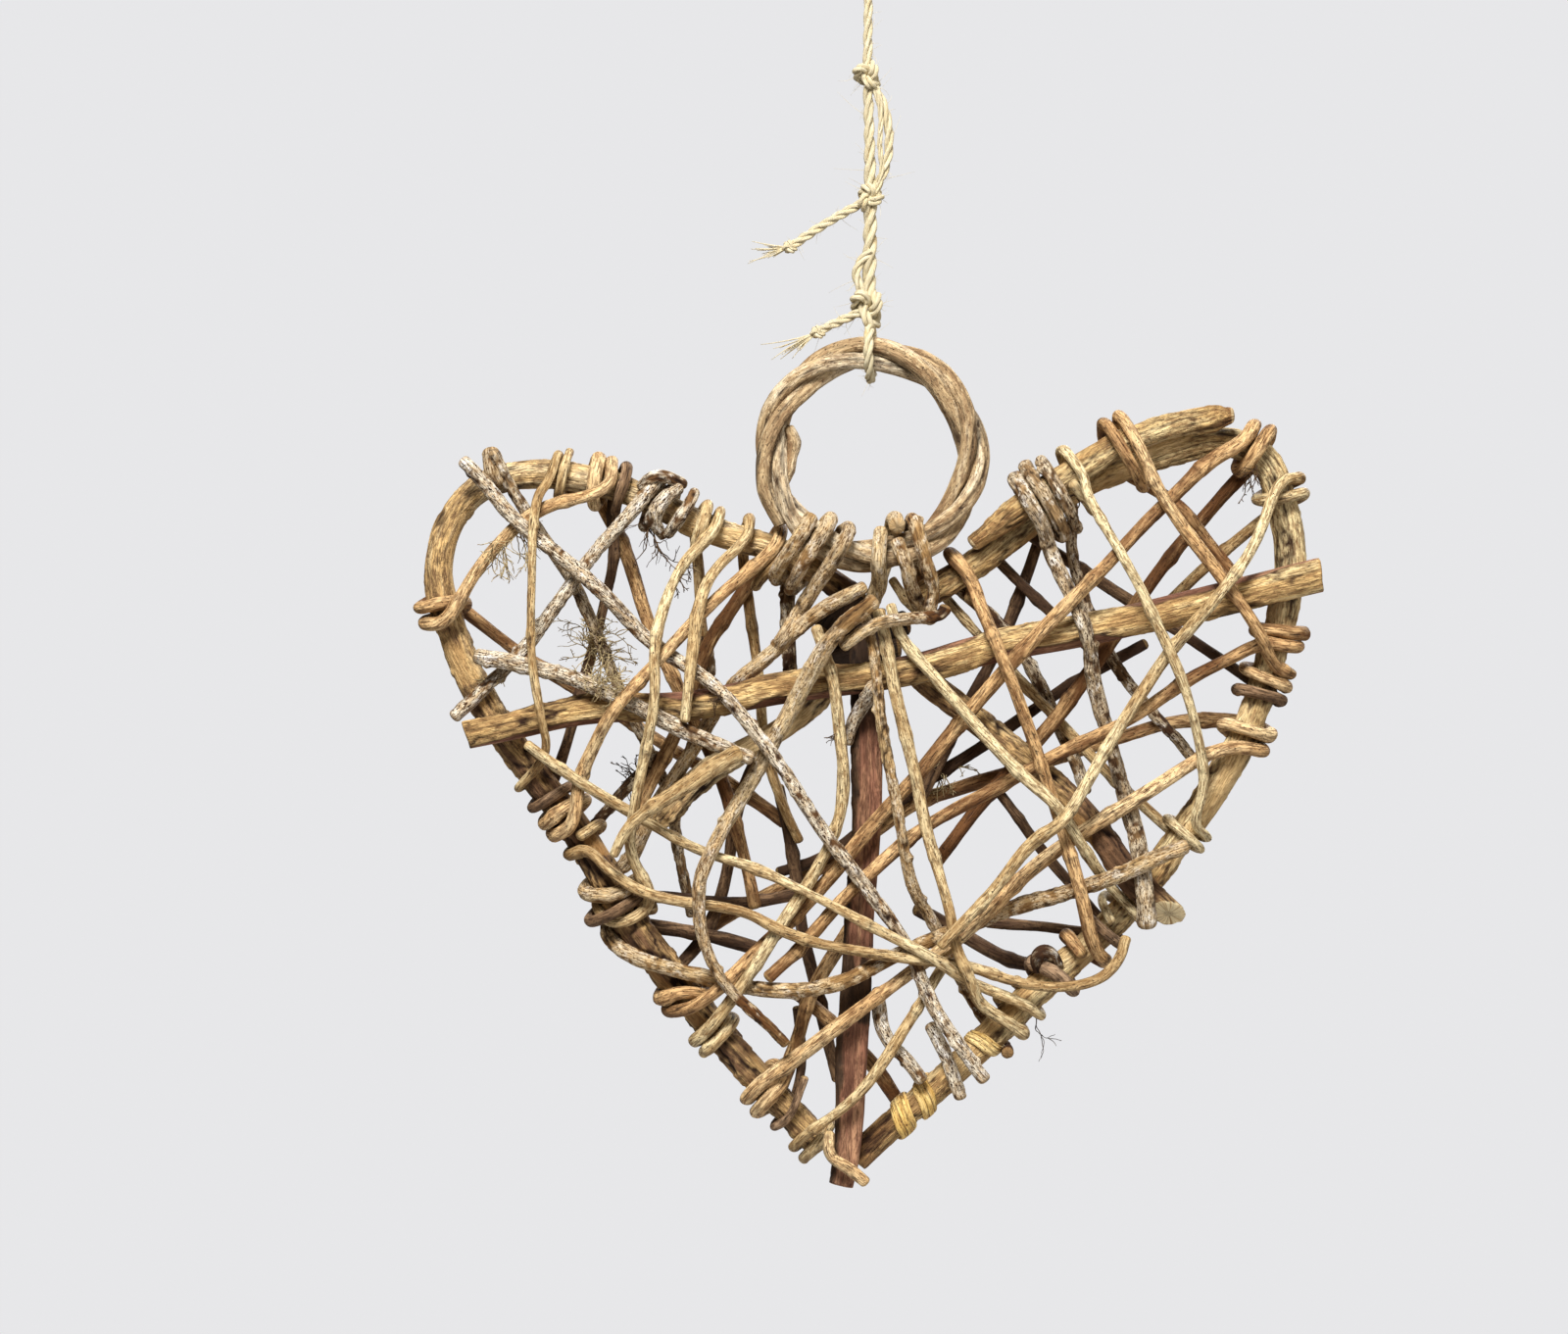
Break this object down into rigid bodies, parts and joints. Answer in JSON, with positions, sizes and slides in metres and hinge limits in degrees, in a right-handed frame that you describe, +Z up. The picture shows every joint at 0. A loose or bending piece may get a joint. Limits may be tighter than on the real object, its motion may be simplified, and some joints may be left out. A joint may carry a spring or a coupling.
{
  "type": "woven vine heart",
  "caption": "Hanging heart of bent sticks with a cross stick, stake and braces, woven over with wound vines, hung from a twisted vine ring on knotted twine.",
  "frame": {"origin": "inside top of the eye at the upper end of the twine, where it bears on a hook or nail", "axes": "+Z up the twine, +X to the right across the heart seen from its front, -Y out of the front"},
  "size_m": [0.1853, 0.0293, 0.2536],
  "materials": {
    "golden_bark": "smooth pale yellow vine bark, satin",
    "tan_bark": "orange-brown vine bark, matt",
    "lichen_bark": "flaking grey bark with pale lichen, matt",
    "dark_bark": "dark brown shaded vine bark, matt",
    "stick_bark": "cracked yellow-brown stick bark, matt",
    "split_wood": "reddish-brown split wood, matt",
    "ring_bark": "ridged grey-tan vine bark, satin",
    "twine": "loosely twisted cream plant-fibre twine"
  },
  "bodies": {
    "root": {"frame_left": "stick_bark", "frame_right": "stick_bark", "lobe_stick": "stick_bark", "cross_stick": "stick_bark", "stake": "split_wood", "brace_right": "stick_bark", "brace_left": "stick_bark", "ring": "ring_bark", "front_vine_01": "golden_bark", "front_vine_02": "golden_bark", "front_vine_03": "golden_bark", "front_vine_04": "golden_bark", "front_vine_05": "golden_bark", "front_vine_06": "tan_bark", "front_vine_07": "tan_bark", "front_vine_08": "tan_bark", "front_vine_09": "tan_bark", "front_vine_10": "golden_bark", "front_vine_11": "golden_bark", "front_vine_12": "tan_bark", "front_vine_13": "golden_bark", "front_vine_14": "golden_bark", "front_vine_15": "golden_bark", "front_vine_16": "tan_bark", "front_vine_17": "tan_bark", "front_vine_18": "golden_bark", "front_vine_19": "golden_bark", "grey_vine_01": "lichen_bark", "grey_vine_02": "lichen_bark", "grey_vine_03": "lichen_bark", "lichen_vine_01": "lichen_bark", "lichen_vine_02": "lichen_bark", "lichen_vine_03": "lichen_bark", "lichen_vine_04": "lichen_bark", "lichen_vine_05": "lichen_bark", "lichen_vine_06": "lichen_bark", "lichen_vine_07": "lichen_bark", "lichen_vine_08": "lichen_bark", "lichen_vine_09": "lichen_bark", "lichen_vine_10": "lichen_bark", "lichen_vine_11": "lichen_bark", "back_vine_01": "dark_bark", "back_vine_02": "dark_bark", "back_vine_03": "dark_bark", "back_vine_04": "dark_bark", "back_vine_05": "dark_bark", "back_vine_06": "dark_bark", "back_vine_07": "dark_bark", "back_vine_08": "dark_bark", "back_vine_09": "dark_bark", "back_vine_10": "dark_bark", "back_vine_11": "tan_bark", "back_vine_12": "dark_bark", "back_vine_13": "dark_bark", "back_vine_14": "dark_bark", "ring_tie_left": "lichen_bark", "ring_tie_middle": "lichen_bark", "ring_tie_right": "lichen_bark", "tip_tie": "tan_bark", "hanging_twine": "twine"}
  },
  "joints": []
}
